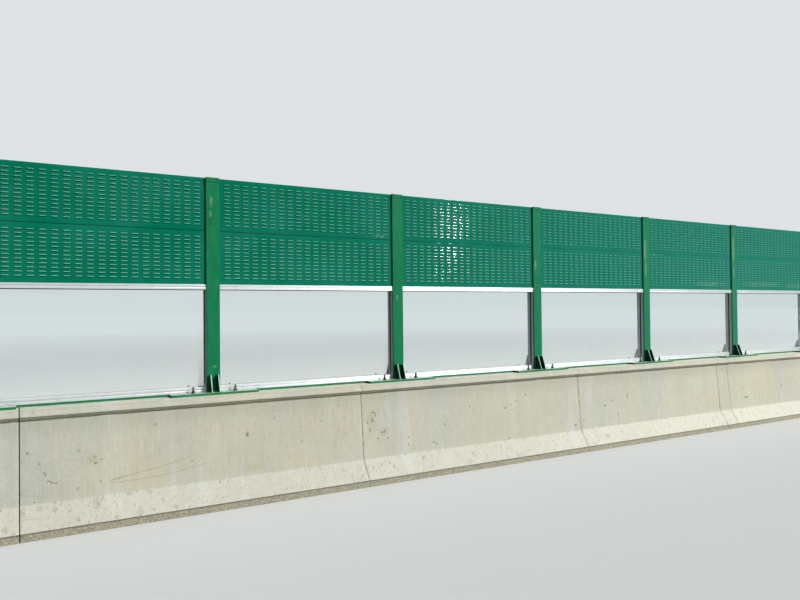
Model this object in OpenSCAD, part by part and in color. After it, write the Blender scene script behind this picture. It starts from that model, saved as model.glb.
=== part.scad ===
// Highway noise barrier: steel posts on a concrete parapet, a clear pane below and two louvred
// absorptive panels above in every bay. +X runs along the barrier, +Z is up and the road lies
// on the -Y side. The origin is on the road surface under the middle of the barrier.

/* [Run] */
// Number of bays between posts
bays = 6; // [5:1:8]
// Distance between the centres of two posts
bay_pitch = 2000; // [1800:10:2600]
// Parapet beyond the axis of each end post
end_overhang = 500; // [430:10:1000]
// Clearance left between pieces that seat on each other
seat_gap = 0.3; // [0.1:0.1:0.9]

/* [Parapet] */
// Height above the road
parapet_h = 1000; // [600:10:1400]
// Width across the top
parapet_top_w = 420; // [400:10:600]
// Distance of the top front edge in front of the posts
parapet_setback = 148; // [110:1:300]
// How far the lip under the top leans out
lip_out = 40; // [10:1:80]
// Height of the lip
lip_h = 60; // [20:1:120]
// Depth below the top where the face starts
face_drop = 95; // [70:1:200]
// How far the top of the face stands out from the top edge
face_out = 10; // [0:1:35]
// How far the foot of the face stands out from the top edge
face_foot_out = 65; // [30:1:120]
// Height above the road where the face turns into the toe
break_h = 248; // [150:1:400]
// How far the top of the kerb stands out from the top edge
kerb_out = 190; // [130:1:260]
// How far the kerb's foot stands out from the top edge
toe_out = 200; // [190:1:300]
// Height of the kerb at the foot
kerb_h = 62; // [20:1:140]
// Chamfer along the back top edge
back_chamfer = 15; // [2:1:40]
// Length of the first cast length at the left end
first_cast = 920; // [600:10:2000]
// Length of a full cast length
full_cast = 3040; // [2000:10:3400]
// Length of the made-up cast length near the right end
short_cast = 2790; // [1500:10:3400]
// Open joint between two cast lengths
joint_gap = 8; // [2:1:30]

/* [Posts] */
// Height of the H section above its base plate
post_h = 2000; // [1500:10:3000]
// Depth of the H section, front to back
post_d = 125; // [120:1:200]
// Width of the flanges
post_w = 125; // [90:1:200]
// Thickness of the flanges
flange_t = 9; // [5:0.5:16]
// Thickness of the web
web_t = 6.5; // [4:0.5:14]
// Radius where the web meets a flange
root_r = 8; // [2:1:10]
// Length of the base plate along the barrier
plate_l = 800; // [480:10:900]
// Width of the base plate across the barrier
plate_w = 330; // [325:5:340]
// Thickness of the base plate
plate_t = 20; // [10:1:40]
// Thickness of the gussets
gusset_t = 10; // [5:1:16]
// Height of the gussets
gusset_h = 160; // [80:1:300]
// Width of a gusset at the top
gusset_top = 40; // [20:1:60]
// Width of a gusset at the plate
gusset_foot = 95; // [60:1:98]
// Height of the upright nose at the toe of a gusset
gusset_nose = 12; // [4:1:40]
// Corner cut off where a gusset meets both post and plate
gusset_snipe = 15; // [5:1:25]
// Distance of each gusset from the post's axis
gusset_x = 35; // [15:1:55]
// Thickness of the folded cap on a post
cap_t = 3; // [1:0.5:6]
// Depth of the cap's front and back skirts
cap_skirt = 40; // [15:1:100]

/* [Anchor bolts] */
// Distance between the bolts along the barrier
bolt_pitch_x = 390; // [220:5:430]
// Distance between the bolts across the barrier
bolt_pitch_y = 200; // [190:5:240]
// Diameter of the bolts
bolt_d = 20; // [12:1:24]
// Radial play of a bolt in the plate and in the concrete
bolt_play = 1; // [0.5:0.1:3]
// Length of a bolt in the concrete
bolt_depth = 200; // [80:10:300]
// Length of a bolt that stands out above its nut
bolt_stand = 28; // [5:1:60]
// Width of a nut across its flats
nut_af = 32; // [30:1:40]
// Height of a nut
nut_h = 17; // [10:1:30]
// Diameter of a washer
washer_d = 38; // [36:1:50]
// Thickness of a washer
washer_t = 3; // [2:0.5:6]

/* [Glazing] */
// Height of the glazed unit over its frame
glazing_h = 1000; // [600:10:1300]
// Height of the top and bottom rails
rail_h = 47; // [35:1:90]
// Set-back of the rails' front behind the front of the posts
rail_front = 8; // [2:1:12]
// How far rails and stiles show beside the edge of a post's flange
frame_play = 2.5; // [1:0.5:10]
// Set-back of the stiles' front behind the front of the posts
stile_front = 18; // [17:1:45]
// Play between frame or panel ends and the web of a post
web_play = 12; // [5:1:20]
// Width of the groove along the rails
groove_w = 12; // [4:1:16]
// Depth of the groove along the rails
groove_d = 4; // [1:0.5:8]
// Depth of the slot that holds the pane
slot_d = 15; // [12:1:20]
// Thickness of the clear pane
pane_t = 10; // [6:1:16]
// Set-back of the pane's middle behind the front of the posts
pane_y = 62; // [58:1:80]
// Thickness of the gasket beside the pane
gasket_t = 4; // [2:0.5:6]
// How far the gasket shows beyond the frame
gasket_show = 6; // [3:1:24]
// Thickness of the strip under the glazing
strip_t = 20; // [5:1:40]
// Set-back of the strip's front behind the front of the posts
strip_front = 10; // [2:1:40]
// Width of the strip under the glazing
strip_w = 100; // [60:1:130]
// Play between the ends of a strip and the base plates
strip_play = 0.8; // [0.3:0.1:0.9]

/* [Louvred panels] */
// Panels above each other in a bay
panel_rows = 2; // [1:1:3]
// Thickness of a panel
panel_t = 98; // [60:1:98]
// Fold along a panel's long edges, drawn as a chamfer
panel_fold = 3; // [1:0.5:6]
// Columns of hoods on a panel
hood_columns = 20; // [6:1:26]
// Rows of hoods on a panel
hood_rows = 12; // [3:1:13]
// Distance between two columns of hoods
hood_pitch_x = 90.5; // [60:0.5:94]
// Distance between two rows of hoods
hood_pitch_z = 35; // [20:0.5:37]
// How far the field of hoods lies above the middle of the panel
hood_rise = 8; // [-10:1:10]
// Width of a hood
hood_w = 58; // [20:1:59]
// Height of a hood from its root to its lip
hood_h = 15; // [6:1:18]
// How far the lip of a hood stands out from the sheet
hood_out = 8; // [3:0.5:14]
// Height of the underside's slope inside a hood
hood_mouth = 6; // [2:0.5:6]
// Depth to which the hoods are drawn into the panel
hood_root = 5; // [2:1:10]

/* [Hidden] */
TOP_COLOR = [0.09, 0.48, 0.36];
POST_COLOR = [0.14, 0.52, 0.32];
SILVER = [0.80, 0.81, 0.82];
CONCRETE = [0.71, 0.71, 0.66];
ZINC = [0.45, 0.48, 0.46];
RUBBER = [0.05, 0.06, 0.06];
CLEAR = [0.80, 0.88, 0.90, 0.35];

// Parapet: front and back of the wall measured from the front plane of the posts
toe_y = -parapet_setback - toe_out;
back_y = parapet_top_w - parapet_setback;
// Shift that puts the origin in the middle of the parapet's width
y_shift = -(toe_y + back_y) / 2;
run_l = bays * bay_pitch;
wall_l = run_l + 2 * end_overhang;
wall_x0 = -wall_l / 2;
cast_ends = [
    first_cast,
    first_cast + full_cast,
    first_cast + 2 * full_cast,
    first_cast + 2 * full_cast + short_cast
];
casts = len(cast_ends) + 1;
cast_from = [for (k = [0 : casts - 1]) k == 0 ? 0 : cast_ends[k - 1] + joint_gap / 2];
cast_to = [for (k = [0 : casts - 1]) k == casts - 1 ? wall_l : cast_ends[k] - joint_gap / 2];

// Levels, from the road up
plate_z = parapet_h + seat_gap;
plate_top = plate_z + plate_t;
post_z = plate_top + seat_gap;
post_top = post_z + post_h;
glazing_z = plate_top + seat_gap;
panels_z = glazing_z + glazing_h + seat_gap;
panel_h = (post_top - panels_z - (panel_rows - 1) * seat_gap) / panel_rows;

// Plan positions
post_mid = post_d / 2;
inner_back = post_d - flange_t - seat_gap;
channel_end = web_t / 2 + web_play;
frame_end = post_w / 2 + frame_play;
stile_l = glazing_h - 2 * rail_h - 2 * seat_gap;

// Pane and gasket
slot_w = pane_t + 2 * gasket_t + 4 * seat_gap;
gasket_w = slot_w - 2 * seat_gap;
gasket_leg = slot_d - seat_gap + gasket_show;
pane_in = slot_d - gasket_t - 2 * seat_gap;
day_w = bay_pitch - 2 * frame_end;
day_h = glazing_h - 2 * rail_h;

function post_x(i) = (i - bays / 2) * bay_pitch;
function bay_x(b) = post_x(b) + bay_pitch / 2;
function numbered(name, n) = [for (k = [1 : n]) str(name, "_", k)];

// Moves its children from the front plane of the posts into the part's frame
module at(x, z) {
    translate([x, y_shift, z])
        children();
}

// Extrudes an outline given in Y and Z along X, centred on X = 0
module along_x(length) {
    translate([-length / 2, 0, 0])
        rotate([90, 0, 90])
            linear_extrude(length)
                children();
}

module parapet_outline() {
    front = -parapet_setback;
    polygon([
        [front, parapet_h],
        [front - lip_out, parapet_h - lip_h],
        [front - face_out, parapet_h - face_drop],
        [front - face_foot_out, break_h],
        [front - kerb_out, kerb_h],
        [toe_y, 0],
        [back_y, 0],
        [back_y, parapet_h - back_chamfer],
        [back_y - back_chamfer, parapet_h]
    ]);
}

// Places its children at the four bolts of post i
module at_bolts(i, from, to) {
    for (sx = [-1, 1])
        for (sy = [-1, 1])
            if (post_x(i) + sx * bolt_pitch_x / 2 > from && post_x(i) + sx * bolt_pitch_x / 2 < to)
                at(post_x(i) + sx * bolt_pitch_x / 2, 0)
                    translate([0, post_mid + sy * bolt_pitch_y / 2, 0])
                        children();
}

module parapet_cast(k) {
    length = cast_to[k] - cast_from[k];
    color(CONCRETE)
        difference() {
            at(wall_x0 + cast_from[k] + length / 2, 0)
                along_x(length)
                    parapet_outline();
            for (i = [0 : bays])
                at_bolts(i, wall_x0 + cast_from[k], wall_x0 + cast_to[k])
                    translate([0, 0, parapet_h - bolt_depth - bolt_play])
                        cylinder(d = bolt_d + 2 * bolt_play, h = bolt_depth + 2 * bolt_play, $fn = 48);
        }
}

module base_plates() {
    color(POST_COLOR)
        difference() {
            for (i = [0 : bays])
                at(post_x(i) - plate_l / 2, plate_z)
                    translate([0, post_mid - plate_w / 2, 0])
                        cube([plate_l, plate_w, plate_t]);
            for (i = [0 : bays])
                at_bolts(i, wall_x0, -wall_x0)
                    translate([0, 0, plate_z - bolt_play])
                        cylinder(d = bolt_d + 2 * bolt_play, h = plate_t + 2 * bolt_play, $fn = 48);
        }
}

module gusset_outline() {
    polygon([
        [-seat_gap, gusset_snipe],
        [-seat_gap, gusset_h],
        [-gusset_top, gusset_h],
        [-gusset_foot, gusset_nose],
        [-gusset_foot, 0],
        [-gusset_snipe, 0]
    ]);
}

module gussets() {
    color(POST_COLOR)
        for (i = [0 : bays])
            at(post_x(i), plate_top + seat_gap)
                for (sx = [-1, 1])
                    translate([sx * gusset_x, post_mid, 0]) {
                        translate([0, -post_mid, 0])
                            along_x(gusset_t)
                                gusset_outline();
                        mirror([0, 1, 0])
                            translate([0, -post_mid, 0])
                                along_x(gusset_t)
                                    gusset_outline();
                    }
}

// Anchor with its washer and nut, standing on the base plate
module anchor_bolts() {
    color(ZINC)
        for (i = [0 : bays])
            at_bolts(i, wall_x0, -wall_x0) {
                translate([0, 0, parapet_h - bolt_depth])
                    cylinder(
                        d = bolt_d,
                        h = bolt_depth + plate_t + 2 * seat_gap + washer_t + nut_h + bolt_stand,
                        $fn = 48
                    );
                translate([0, 0, plate_top + seat_gap])
                    cylinder(d = washer_d, h = washer_t, $fn = 48);
                translate([0, 0, plate_top + seat_gap + washer_t])
                    cylinder(d = nut_af / cos(30), h = nut_h, $fn = 6);
            }
}

// Flat strips that close the gap under the glazing between two base plates
module sill_strips() {
    length = bay_pitch - plate_l - 2 * strip_play;
    color(POST_COLOR)
        for (b = [0 : bays - 1])
            at(bay_x(b) - length / 2, plate_top - strip_t)
                translate([0, strip_front, 0])
                    cube([length, strip_w, strip_t]);
}

module h_section() {
    for (y = [0, post_d - flange_t])
        translate([-post_w / 2, y])
            square([post_w, flange_t]);
    translate([-web_t / 2, 0])
        square([web_t, post_d]);
    for (sx = [-1, 1])
        for (sy = [-1, 1])
            translate([sx * web_t / 2, post_mid + sy * (post_mid - flange_t)])
                difference() {
                    translate([sx * root_r / 2, -sy * root_r / 2])
                        square(root_r, center = true);
                    translate([sx * root_r, -sy * root_r])
                        circle(r = root_r, $fn = 48);
                }
}

module post(i) {
    color(POST_COLOR)
        at(post_x(i), post_z)
            linear_extrude(post_h)
                h_section();
}

// One sheet folded over each post's top, with a skirt down the front and the back
module post_caps() {
    front = -seat_gap - cap_t;
    back = post_d + seat_gap + cap_t;
    color(POST_COLOR)
        for (i = [0 : bays])
            at(post_x(i), post_top + seat_gap)
                along_x(post_w)
                    polygon([
                        [front, cap_t],
                        [front, -cap_skirt],
                        [front + cap_t, -cap_skirt],
                        [front + cap_t, 0],
                        [back - cap_t, 0],
                        [back - cap_t, -cap_skirt],
                        [back, -cap_skirt],
                        [back, cap_t]
                    ]);
}

// Bottom rail of a frame: a deep bar that reaches behind the posts, with a grooved nose in front
module rail() {
    full_l = bay_pitch - 2 * channel_end;
    mid = rail_h / 2;
    difference() {
        union() {
            along_x(full_l)
                translate([stile_front, 0])
                    square([inner_back - stile_front, rail_h]);
            along_x(day_w)
                polygon([
                    [rail_front, 0],
                    [stile_front, 0],
                    [stile_front, rail_h],
                    [rail_front, rail_h],
                    [rail_front, mid + groove_w / 2],
                    [rail_front + groove_d, mid + groove_w / 2],
                    [rail_front + groove_d, mid - groove_w / 2],
                    [rail_front, mid - groove_w / 2]
                ]);
        }
        along_x(bay_pitch)
            translate([pane_y - slot_w / 2, rail_h - slot_d])
                square([slot_w, 2 * slot_d]);
    }
}

// Right stile of a frame: it runs from the pane to a point behind the post's flange
module stile() {
    inner = day_w / 2;
    outer = bay_pitch / 2 - channel_end;
    linear_extrude(stile_l)
        difference() {
            translate([inner, stile_front])
                square([outer - inner, inner_back - stile_front]);
            translate([inner - slot_d, pane_y - slot_w / 2])
                square([2 * slot_d, slot_w]);
        }
}

module glazing_frame(b) {
    color(SILVER)
        at(bay_x(b), glazing_z) {
            rail();
            translate([0, 0, glazing_h])
                mirror([0, 0, 1])
                    rail();
            translate([0, 0, rail_h + seat_gap]) {
                stile();
                mirror([1, 0, 0])
                    stile();
            }
        }
}

module clear_pane(b) {
    color(CLEAR)
        at(bay_x(b) - day_w / 2 - pane_in, glazing_z + rail_h - pane_in)
            translate([0, pane_y - pane_t / 2, 0])
                cube([day_w + 2 * pane_in, pane_t, day_h + 2 * pane_in]);
}

// U-shaped gasket outline: legs up the two faces of the pane, base under its edge
module gasket_outline() {
    difference() {
        translate([-gasket_w / 2, 0])
            square([gasket_w, gasket_leg]);
        translate([-pane_t / 2 - seat_gap, gasket_t])
            square([pane_t + 2 * seat_gap, gasket_leg]);
    }
}

module pane_gaskets() {
    flat_l = day_w + 2 * slot_d - 2 * seat_gap;
    upright_l = day_h - 2 * gasket_show - 2 * seat_gap;
    low = rail_h - slot_d + seat_gap;
    color(RUBBER)
        for (b = [0 : bays - 1])
            at(bay_x(b), glazing_z)
                translate([0, pane_y, 0]) {
                    for (m = [0, 1])
                        translate([0, 0, m * glazing_h])
                            mirror([0, 0, m])
                                translate([0, 0, low])
                                    along_x(flat_l)
                                        gasket_outline();
                    for (m = [0, 1])
                        mirror([m, 0, 0])
                            translate([day_w / 2 + slot_d - seat_gap, 0, (glazing_h - upright_l) / 2])
                                linear_extrude(upright_l)
                                    rotate(90)
                                        gasket_outline();
                }
}

// One column of hoods as a single outline: a flat back with a row of teeth in front
module hood_teeth() {
    field_h = (hood_rows - 1) * hood_pitch_z;
    first = (panel_h - field_h) / 2 + hood_rise;
    low = first - hood_h;
    high = first + field_h + hood_h;
    teeth = [
        for (r = [0 : hood_rows - 1])
            let (z = first + r * hood_pitch_z)
                each [[0, z - hood_h / 2 + hood_mouth], [-hood_out, z - hood_h / 2], [0, z + hood_h / 2]]
    ];
    polygon(concat([[hood_root, low], [0, low]], teeth, [[0, high], [hood_root, high]]));
}

// Closed panel: a casing with folded long edges whose ends slide into the posts, and its hoods
module louvre_panel(b, level) {
    face = inner_back - panel_t;
    color(TOP_COLOR)
        at(bay_x(b), panels_z + level * (panel_h + seat_gap)) {
            along_x(bay_pitch - 2 * channel_end)
                polygon([
                    [face, panel_fold],
                    [face + panel_fold, 0],
                    [inner_back - panel_fold, 0],
                    [inner_back, panel_fold],
                    [inner_back, panel_h - panel_fold],
                    [inner_back - panel_fold, panel_h],
                    [face + panel_fold, panel_h],
                    [face, panel_h - panel_fold]
                ]);
            for (c = [0 : hood_columns - 1])
                translate([(c - (hood_columns - 1) / 2) * hood_pitch_x, face, 0])
                    along_x(hood_w)
                        hood_teeth();
        }
}

for (k = [0 : casts - 1])
    parapet_cast(k);
base_plates();
gussets();
anchor_bolts();
sill_strips();
for (i = [0 : bays])
    post(i);
post_caps();
for (b = [0 : bays - 1])
    glazing_frame(b);
for (b = [0 : bays - 1])
    clear_pane(b);
pane_gaskets();
for (b = [0 : bays - 1])
    louvre_panel(b, 0);
for (b = [0 : bays - 1])
    louvre_panel(b, 1);
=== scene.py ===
"""Looks of a highway noise barrier: steel posts on a cast concrete parapet, clear panes in aluminium
frames below and louvred absorptive panels above. Metres, +X along the barrier, road on the -Y side."""

import math

import bmesh
import bpy
import numpy as np
from mathutils import Matrix, Vector, noise


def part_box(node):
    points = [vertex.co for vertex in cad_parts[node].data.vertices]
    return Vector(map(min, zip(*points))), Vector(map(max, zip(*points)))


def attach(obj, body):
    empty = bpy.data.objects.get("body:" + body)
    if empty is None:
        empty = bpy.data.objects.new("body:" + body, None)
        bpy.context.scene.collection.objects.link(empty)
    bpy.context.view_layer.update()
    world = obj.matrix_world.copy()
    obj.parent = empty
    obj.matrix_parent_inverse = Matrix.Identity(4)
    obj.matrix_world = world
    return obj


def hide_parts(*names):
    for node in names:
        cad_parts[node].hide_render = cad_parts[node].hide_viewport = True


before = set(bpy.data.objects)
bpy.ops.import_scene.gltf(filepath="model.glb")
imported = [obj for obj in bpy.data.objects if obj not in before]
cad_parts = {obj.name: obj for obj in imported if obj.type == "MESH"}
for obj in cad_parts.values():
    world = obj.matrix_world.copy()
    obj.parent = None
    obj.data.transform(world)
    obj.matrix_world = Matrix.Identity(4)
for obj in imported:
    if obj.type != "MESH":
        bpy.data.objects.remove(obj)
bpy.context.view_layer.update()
scene = bpy.context.scene

# The view from the road, at eye height, looking along the barrier to the right.
# Fitted to the photograph's lines: focal length 668 px on a frame of 800 by 600 px.
EYE = Vector((-5.647, -6.236, 1.777))
TURN_RIGHT = math.radians(30.336)
LOOK_UP = math.radians(0.756)
ROLL = math.radians(-0.514)
LENS_MM = 30.05
SENSOR_MM = 36.0
PHOTO_WIDE = 800
PHOTO_HIGH = 600

ahead = Vector((
    math.sin(TURN_RIGHT) * math.cos(LOOK_UP),
    math.cos(TURN_RIGHT) * math.cos(LOOK_UP),
    math.sin(LOOK_UP),
))
level_right = Vector((math.cos(TURN_RIGHT), -math.sin(TURN_RIGHT), 0.0))
level_up = level_right.cross(ahead)
right = math.cos(ROLL) * level_right + math.sin(ROLL) * level_up
up = -math.sin(ROLL) * level_right + math.cos(ROLL) * level_up

camera = bpy.data.objects.new("camera", bpy.data.cameras.new("camera"))
camera.data.lens = LENS_MM
camera.data.sensor_width = SENSOR_MM
camera.data.clip_start = 0.05
camera.data.clip_end = 2000.0
camera.matrix_world = Matrix.Translation(EYE) @ Matrix((right, up, -ahead)).transposed().to_4x4()
scene.collection.objects.link(camera)
scene.camera = camera
scene.view_settings.view_transform = "Standard"

# The studio: one soft lamp on the road side, a pale backdrop and a pale floor, and soft fill light
# of an even level. What gloss mirrors is a dim horizon under a bright soft box overhead.
LAMP_FROM = Vector((0.565, -0.606, 0.559))
LAMP_LEVEL = 4.15
LAMP_SPREAD = math.radians(2.2)
FILL_LEVEL = 0.22
HORIZON = (0.16, 0.30, 0.27, 1.0)
OVERHEAD = (1.80, 1.84, 1.90, 1.0)
SOFT_BOX_FROM = 0.20
SOFT_BOX_FULL = 0.85
BACKDROP = (0.74, 0.76, 0.78, 1.0)
FLOOR_COLOUR = (0.62, 0.63, 0.63, 1.0)
FLOOR_BOUNCE = (0.17, 0.17, 0.16, 1.0)
FLOOR_REACH = 400.0
FADE_FROM = 14.0
FADE_TO = 60.0

lamp = bpy.data.objects.new("lamp", bpy.data.lights.new("lamp", "SUN"))
lamp.data.energy = LAMP_LEVEL
lamp.data.angle = LAMP_SPREAD
lamp.rotation_mode = "QUATERNION"
lamp.rotation_quaternion = LAMP_FROM.to_track_quat("Z", "Y")
scene.collection.objects.link(lamp)


def give(tree, socket, value):
    """Links a node's output to a socket, or sets a plain value on it."""
    if isinstance(value, bpy.types.NodeSocket):
        tree.links.new(value, socket)
    else:
        socket.default_value = value


def new_node(tree, kind, values=None, **settings):
    """Adds a node with its settings, and gives its inputs their values by name or number."""
    node = tree.nodes.new(kind)
    for name, value in settings.items():
        setattr(node, name, value)
    for name, value in (values or {}).items():
        give(tree, node.inputs[name], value)
    return node


def smooth(tree, value, low, high):
    """0 below low, 1 above high, and smooth between; low may be the larger."""
    falling = low > high
    return new_node(tree, "ShaderNodeMapRange", {
        "Value": value, "From Min": min(low, high), "From Max": max(low, high),
        "To Min": float(falling), "To Max": float(not falling),
    }, interpolation_type="SMOOTHSTEP").outputs["Result"]


def ray_is(tree, *kinds):
    """1 for rays of the given kinds, else 0."""
    path = new_node(tree, "ShaderNodeLightPath")
    found = path.outputs[kinds[0]]
    for kind in kinds[1:]:
        either = new_node(tree, "ShaderNodeMath", {0: found, 1: path.outputs[kind]}, operation="MAXIMUM")
        found = either.outputs[0]
    return found


def choose(tree, share, first, second):
    """Shader that is first where share is 0 and second where it is 1."""
    return new_node(tree, "ShaderNodeMixShader", {0: share, 1: first, 2: second}).outputs[0]


world = bpy.data.worlds.new("studio")
world.use_nodes = True
scene.world = world
sky = world.node_tree
fill = sky.nodes["Background"]
fill.inputs["Color"].default_value = (1.0, 1.0, 1.0, 1.0)
fill.inputs["Strength"].default_value = FILL_LEVEL
backdrop = new_node(sky, "ShaderNodeBackground", {"Color": BACKDROP, "Strength": 1.0})
towards = new_node(sky, "ShaderNodeTexCoord")
split = new_node(sky, "ShaderNodeSeparateXYZ", {0: towards.outputs["Generated"]})
soft_box = smooth(sky, split.outputs["Z"], SOFT_BOX_FROM, SOFT_BOX_FULL)
glow = new_node(sky, "ShaderNodeMix", {"Factor": soft_box, 6: HORIZON, 7: OVERHEAD}, data_type="RGBA")
mirrored = new_node(sky, "ShaderNodeBackground", {"Color": glow.outputs[2]})
surroundings = choose(sky, ray_is(sky, "Is Glossy Ray"), fill.outputs[0], mirrored.outputs[0])
surroundings = choose(
    sky, ray_is(sky, "Is Camera Ray", "Is Transmission Ray"), surroundings, backdrop.outputs[0]
)
sky.links.new(surroundings, sky.nodes["World Output"].inputs["Surface"])

floor_mesh = bpy.data.meshes.new("floor")
floor_mesh.from_pydata(
    [(sx * FLOOR_REACH, sy * FLOOR_REACH, 0.0) for sx, sy in ((-1, -1), (1, -1), (1, 1), (-1, 1))],
    [],
    [(0, 1, 2, 3)],
)
floor_paint = bpy.data.materials.new("studio_floor")
floor_paint.use_nodes = True
tree = floor_paint.node_tree
floor_shader = tree.nodes["Principled BSDF"]
floor_shader.inputs["Base Color"].default_value = FLOOR_COLOUR
floor_shader.inputs["Roughness"].default_value = 0.9
floor_shader.inputs["Specular IOR Level"].default_value = 0.1
far_floor = new_node(tree, "ShaderNodeEmission", {"Color": BACKDROP})
place = new_node(tree, "ShaderNodeTexCoord")
distance = new_node(tree, "ShaderNodeVectorMath", {0: place.outputs["Object"]}, operation="LENGTH")
fade = smooth(tree, distance.outputs["Value"], FADE_FROM, FADE_TO)
pale_floor = choose(tree, fade, floor_shader.outputs[0], far_floor.outputs[0])
dim_floor = new_node(tree, "ShaderNodeBsdfDiffuse", {"Color": FLOOR_BOUNCE})
seen = ray_is(tree, "Is Camera Ray", "Is Glossy Ray", "Is Transmission Ray")
floor_look = choose(tree, seen, dim_floor.outputs[0], pale_floor)
tree.links.new(floor_look, tree.nodes["Material Output"].inputs["Surface"])
floor_mesh.materials.append(floor_paint)
floor = bpy.data.objects.new("floor", floor_mesh)
scene.collection.objects.link(floor)

# Parapet: reinforced concrete cast in place against smooth steel forms, in lengths with open joints.
# The face leans back to a lip under the top; a lighter toe and a rough kerb band form its foot.
PARAPET_SPACING = 0.020
CORNER_STEPS = 3
BREAK_Z = 0.248
KERB_Z = 0.062
# Corners from the top front edge down the road side and round the back: y, z, radius, spacing after
# it, and how rough the surface after it is.
PARAPET_CORNERS = (
    (-0.110, 1.000, 0.007, 0.015, 0.0008),
    (-0.159, 0.941, 0.006, 0.012, 0.0006),
    (-0.112, 0.914, 0.006, 0.021, 0.0007),
    (-0.175, BREAK_Z, 0.020, 0.016, 0.0011),
    (-0.2985, KERB_Z + 0.0025, 0.003, 0.004, 0.0),
    (-0.2940, KERB_Z - 0.0025, 0.0012, 0.004, 0.0),
    (-0.3005, KERB_Z - 0.0075, 0.002, 0.0085, 0.0026),
    (-0.3075, 0.000, 0.002, 0.100, 0.0),
    (0.3080, 0.000, 0.004, 0.075, 0.0004),
    (0.3080, 0.985, 0.004, 0.010, 0.0004),
    (0.2950, 0.9995, 0.004, 0.045, 0.0003),
)
FACE = PARAPET_CORNERS[2:4]
TOE = PARAPET_CORNERS[3:5]


def rounded_outline(corners, steps):
    """Points round a closed outline with rounded corners: y, z, outward normal and roughness."""
    rows = []
    count = len(corners)
    ends = []
    for k in range(count):
        here = Vector(corners[k][:2])
        before = (Vector(corners[k - 1][:2]) - here).normalized()
        after = (Vector(corners[(k + 1) % count][:2]) - here).normalized()
        half = before.angle(after) / 2
        reach = corners[k][2] / math.tan(half)
        centre = here + (before + after).normalized() * corners[k][2] / math.sin(half)
        ends.append((here + before * reach, here + after * reach, centre))
    for k in range(count):
        start, stop, centre = ends[k]
        turn = (start - centre).angle_signed(stop - centre)
        rough = corners[k][4]
        rough_before = corners[k - 1][4]
        arm = start - centre
        for s in range(steps + 1):
            angle = -turn * s / steps
            turned_arm = Vector((
                arm.x * math.cos(angle) - arm.y * math.sin(angle),
                arm.x * math.sin(angle) + arm.y * math.cos(angle),
            ))
            rows.append((centre + turned_arm, rough_before + (rough - rough_before) * s / steps))
        following = ends[(k + 1) % count][0]
        cells = max(1, round((following - stop).length / corners[k][3]))
        for s in range(1, cells):
            rows.append((stop.lerp(following, s / cells), rough))
    places = np.array([tuple(r[0]) for r in rows])
    along = np.roll(places, -1, 0) - np.roll(places, 1, 0)
    along /= np.linalg.norm(along, axis=1)[:, None]
    return places, np.column_stack((along[:, 1], -along[:, 0])), np.array([r[1] for r in rows])


def cast_stations(start, stop, spacing):
    """Places along X of the rings of one cast length, closer together at both ends."""
    near_end = [0.0, 0.0012, 0.003, 0.006]
    inner = stop - start - 2 * near_end[-1]
    cells = max(2, round(inner / spacing))
    middle = [near_end[-1] + inner * k / cells for k in range(1, cells)]
    return [start + d for d in near_end + middle] + [stop - d for d in reversed(near_end)]


def skin(around, rings, base=0):
    """Faces of a closed body through rings that have around points each, with flat ends."""
    faces = []
    for r in range(rings - 1):
        for k in range(around):
            a = base + r * around + k
            b = base + r * around + (k + 1) % around
            faces.append((a, b, b + around, a + around))
    faces.append(tuple(base + k for k in reversed(range(around))))
    faces.append(tuple(base + (rings - 1) * around + k for k in range(around)))
    return faces


def built(name, points, faces, smooth_below=math.pi):
    """Mesh of closed bodies with outward faces, smooth over edges that turn by less than an angle."""
    mesh = bpy.data.meshes.new(name)
    mesh.from_pydata(points, [], faces)
    shape = bmesh.new()
    shape.from_mesh(mesh)
    bmesh.ops.recalc_face_normals(shape, faces=shape.faces)
    shape.to_mesh(mesh)
    shape.free()
    mesh.shade_smooth()
    mesh.set_sharp_from_angle(angle=smooth_below)
    return mesh


def loft(name, rings):
    """Mesh of one closed body through equal rings of points, with flat ends."""
    return built(
        name, np.concatenate(rings).tolist(), skin(len(rings[0]), len(rings)), math.radians(32)
    )


def coated(mesh, *finishes):
    """The mesh with these finishes and no others."""
    mesh.materials.clear()
    for finish in finishes:
        mesh.materials.append(finish.material)
    return mesh


def show(name, mesh, slot_name, *node_names):
    """Puts a finished mesh in the scene, as a piece that stands for CAD nodes where any are named."""
    piece = bpy.data.objects.new(name, mesh)
    scene.collection.objects.link(piece)
    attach(piece, "root")
    if node_names:
        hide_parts(*node_names)


def colour_of(value):
    """Linear colour of a display colour given from 0 to 255; a node's output stays as it is."""
    if isinstance(value, bpy.types.NodeSocket):
        return value
    linear = [
        c / 12.92 if c <= 0.04045 else ((c + 0.055) / 1.055) ** 2.4
        for c in (level / 255 for level in value)
    ]
    return (*linear, 1.0)


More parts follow.
